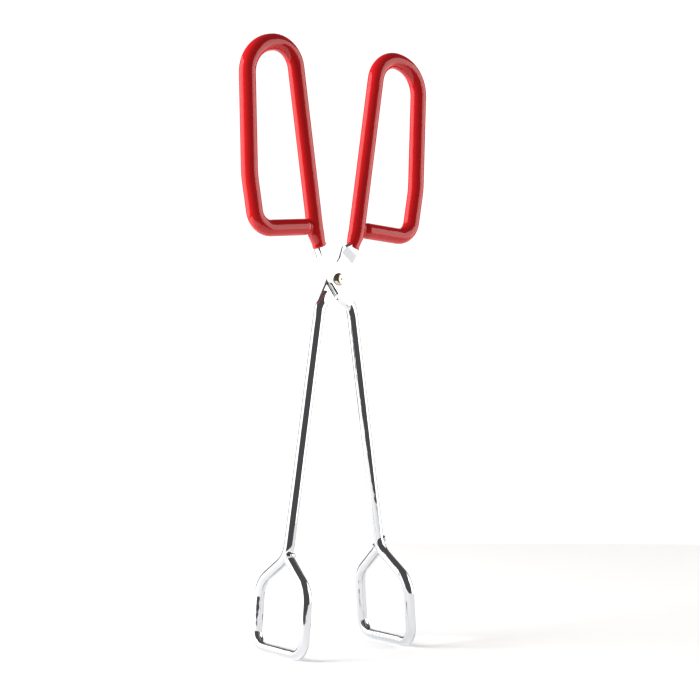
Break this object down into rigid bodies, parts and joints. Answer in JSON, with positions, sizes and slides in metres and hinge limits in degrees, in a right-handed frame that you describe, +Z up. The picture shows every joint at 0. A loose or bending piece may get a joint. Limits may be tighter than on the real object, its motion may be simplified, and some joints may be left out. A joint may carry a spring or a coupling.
{
  "type": "kitchen tongs",
  "caption": "Riveted scissor tongs of bent chromed wire: coated finger loops at the top, a lapped pivot, and toothed loop jaws that close as the handles close.",
  "frame": {"origin": "on the surface that the open tongs stand on, midway between the two jaws", "axes": "+Z up along the tongs, the arms open along X, the rivet lies along Y"},
  "size_m": [0.1038, 0.0424, 0.2681],
  "materials": {
    "chrome_wire": "bright chrome plate",
    "coating": "glossy dipped vinyl",
    "rivet": "nickel plated",
    "weld": "plated weld"
  },
  "bodies": {
    "front": {"front_arm": "chrome_wire", "front_grip_coating": "coating", "front_grip_weld": "weld", "front_jaw_weld": "weld", "pivot_rivet": "rivet"},
    "rear": {"rear_arm": "chrome_wire", "rear_grip_coating": "coating", "rear_grip_weld": "weld", "rear_jaw_weld": "weld"}
  },
  "joints": [
    {"name": "pivot", "type": "hinge", "parent": "front", "child": "rear", "pos_m": [0, 0, 0.16368], "axis": [0, -1, 0], "range_deg": [-50, 18.5]}
  ]
}
